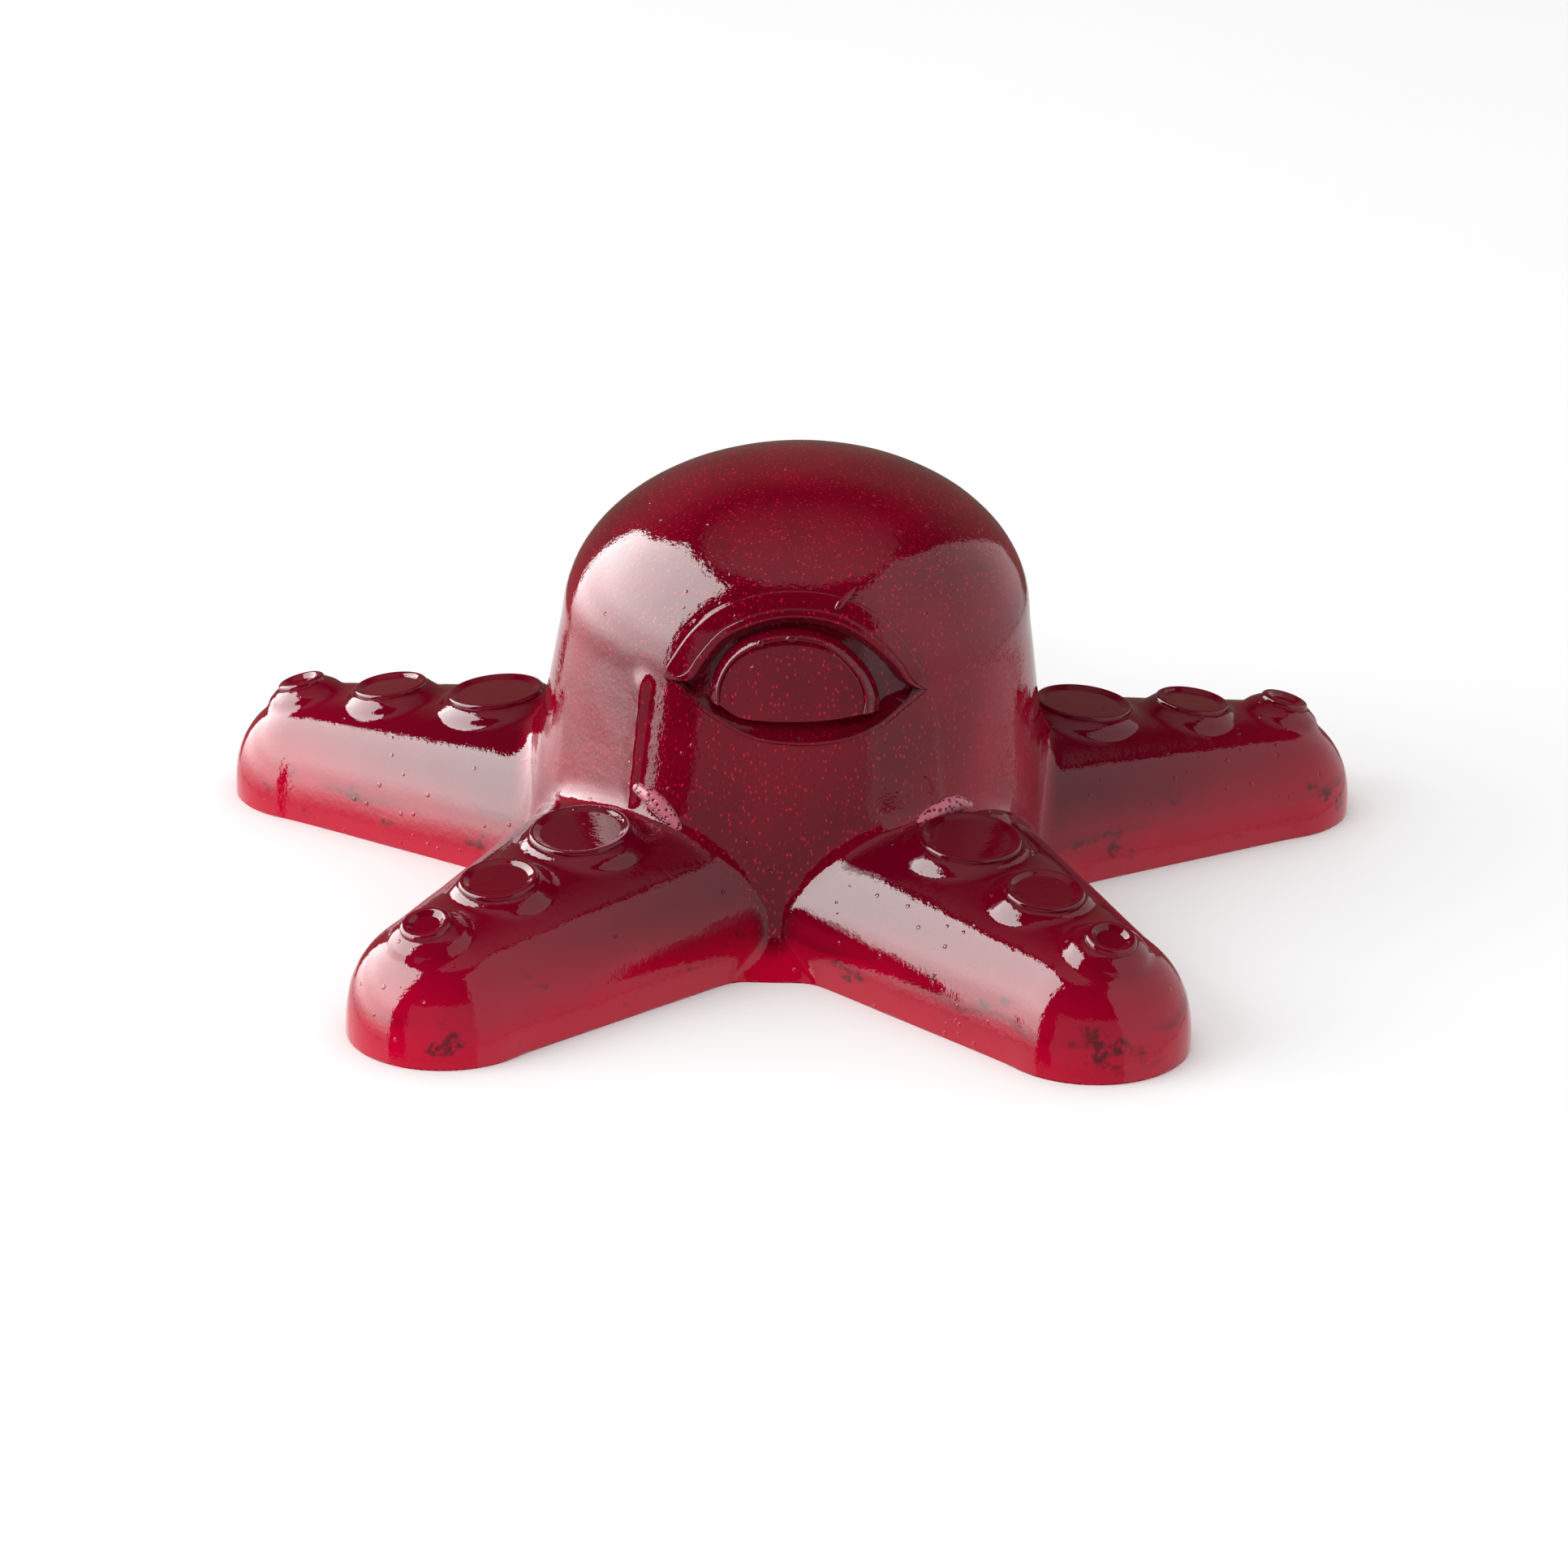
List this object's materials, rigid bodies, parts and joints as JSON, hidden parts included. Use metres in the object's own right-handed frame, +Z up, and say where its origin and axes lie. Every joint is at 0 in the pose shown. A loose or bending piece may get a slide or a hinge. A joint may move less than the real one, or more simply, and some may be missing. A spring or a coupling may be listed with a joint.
{
  "type": "soft octopus figure",
  "caption": "Small glossy translucent red octopus figure: a domed body with an eye in front and stout suckered arms spread flat around it, to stand on a shelf or table.",
  "frame": {"origin": "on the body's vertical axis, in the plane of the flat sole", "axes": "+Z up out of the crown, the eye looks along -Y, +X to the viewer's right when the eye faces the viewer"},
  "size_m": [0.113, 0.1085, 0.0415],
  "materials": {
    "shimmer_red": "wet-looking gloss, translucent wine red with fine shimmer flakes",
    "clear_red": "wet-looking gloss, clear red that glows where it is thin",
    "sucker_red": "wet-looking gloss, clear deep red",
    "eye_red": "wet-looking gloss, translucent wine red with fine shimmer flakes"
  },
  "bodies": {
    "root": {"mantle": "shimmer_red", "arm_front_right": "clear_red", "arm_right": "clear_red", "arm_back": "clear_red", "arm_left": "clear_red", "arm_front_left": "clear_red", "sucker_front_right_inner": "sucker_red", "sucker_front_right_middle": "sucker_red", "sucker_front_right_outer": "sucker_red", "sucker_right_inner": "sucker_red", "sucker_right_middle": "sucker_red", "sucker_right_outer": "sucker_red", "sucker_back_inner": "sucker_red", "sucker_back_middle": "sucker_red", "sucker_back_outer": "sucker_red", "sucker_left_inner": "sucker_red", "sucker_left_middle": "sucker_red", "sucker_left_outer": "sucker_red", "sucker_front_left_inner": "sucker_red", "sucker_front_left_middle": "sucker_red", "sucker_front_left_outer": "sucker_red", "upper_eyelid": "eye_red", "lower_eyelid": "eye_red", "iris_ring": "eye_red", "iris": "eye_red"}
  },
  "joints": []
}
